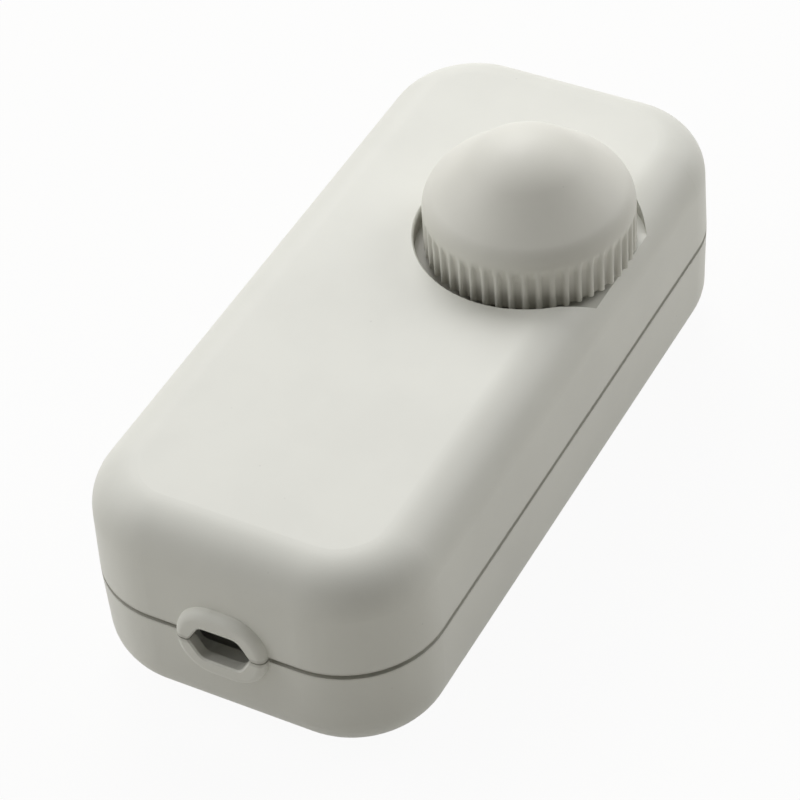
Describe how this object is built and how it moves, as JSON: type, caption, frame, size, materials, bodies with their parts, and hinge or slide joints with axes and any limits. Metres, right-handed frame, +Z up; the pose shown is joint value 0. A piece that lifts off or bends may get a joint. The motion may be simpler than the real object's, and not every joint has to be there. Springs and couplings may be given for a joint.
{
  "type": "table lamp dimmer",
  "caption": "In-line rotary dimmer for a lamp cord: rounded two-shell housing, a cord entry at each end and a domed, ridged knob set off-centre on top.",
  "frame": {"origin": "centre of the housing's flat base", "axes": "+X along the cord towards the knob end, +Z up out of the face with the knob, +Y towards the long side away from the knob"},
  "size_m": [0.0902, 0.04, 0.0392],
  "materials": {
    "housing_plastic": "finely textured, matt warm white",
    "knob_plastic": "smooth satin warm white",
    "black_plastic": "moulded, satin black",
    "grey_nylon": "moulded nylon, light grey",
    "green_terminal": "moulded, dark green",
    "board_laminate": "brown paper laminate",
    "phenolic": "pressed phenolic sheet",
    "zinc_steel": "zinc plated",
    "tinned_copper": "tinned",
    "brass": "bright brass",
    "sink_aluminium": "mill finish",
    "carbon": "printed carbon film",
    "epoxy_black": "moulded epoxy",
    "ferrite": "coated iron powder",
    "enamelled_copper": "enamelled copper wire",
    "cap_yellow": "moulded case, yellow",
    "cap_red": "dipped case, dark red",
    "resistor_body": "lacquered, tan",
    "diac_blue": "glass bead under blue lacquer",
    "fuse_glass": "clear tube",
    "nickel": "nickel plated"
  },
  "bodies": {
    "housing": {"upper_shell": "housing_plastic", "lower_shell": "housing_plastic", "housing_screws": "zinc_steel", "cord_clamp_in": "grey_nylon", "cord_clamp_out": "grey_nylon", "clamp_screws": "zinc_steel", "circuit_board": "board_laminate", "board_screws": "zinc_steel", "terminal_block_in": "green_terminal", "terminal_block_out": "green_terminal", "terminal_cages": "brass", "terminal_screws": "zinc_steel", "potentiometer_can": "zinc_steel", "potentiometer_bushing": "brass", "potentiometer_pins": "tinned_copper", "track_wafer": "phenolic", "carbon_track": "carbon", "switch_case": "black_plastic", "switch_contacts": "brass", "heat_sink": "sink_aluminium", "triac_tab": "tinned_copper", "triac_body": "epoxy_black", "triac_screw": "zinc_steel", "triac_nut": "zinc_steel", "fuse_tube": "fuse_glass", "fuse_caps": "nickel", "fuse_clips": "nickel", "choke_core": "ferrite", "choke_winding": "enamelled_copper", "choke_pins": "tinned_copper", "film_capacitor": "cap_yellow", "timing_capacitor": "cap_red", "resistors": "resistor_body", "diac": "diac_blue"},
    "knob": {"dimmer_knob": "knob_plastic", "potentiometer_shaft": "black_plastic", "wiper_brush": "brass"},
    "switch_lever": {"switch_lever": "grey_nylon"}
  },
  "joints": [
    {"name": "knob_turn", "type": "hinge", "parent": "housing", "child": "knob", "pos_m": [0.0145, -0.0075, 0.03], "axis": [0, 0, -1], "range_deg": [0, 300]},
    {"name": "switch_throw", "type": "hinge", "parent": "housing", "child": "switch_lever", "pos_m": [0.0086, -0.0075, 0.0097], "axis": [0, 0, 1], "range_deg": [0, 16]}
  ]
}
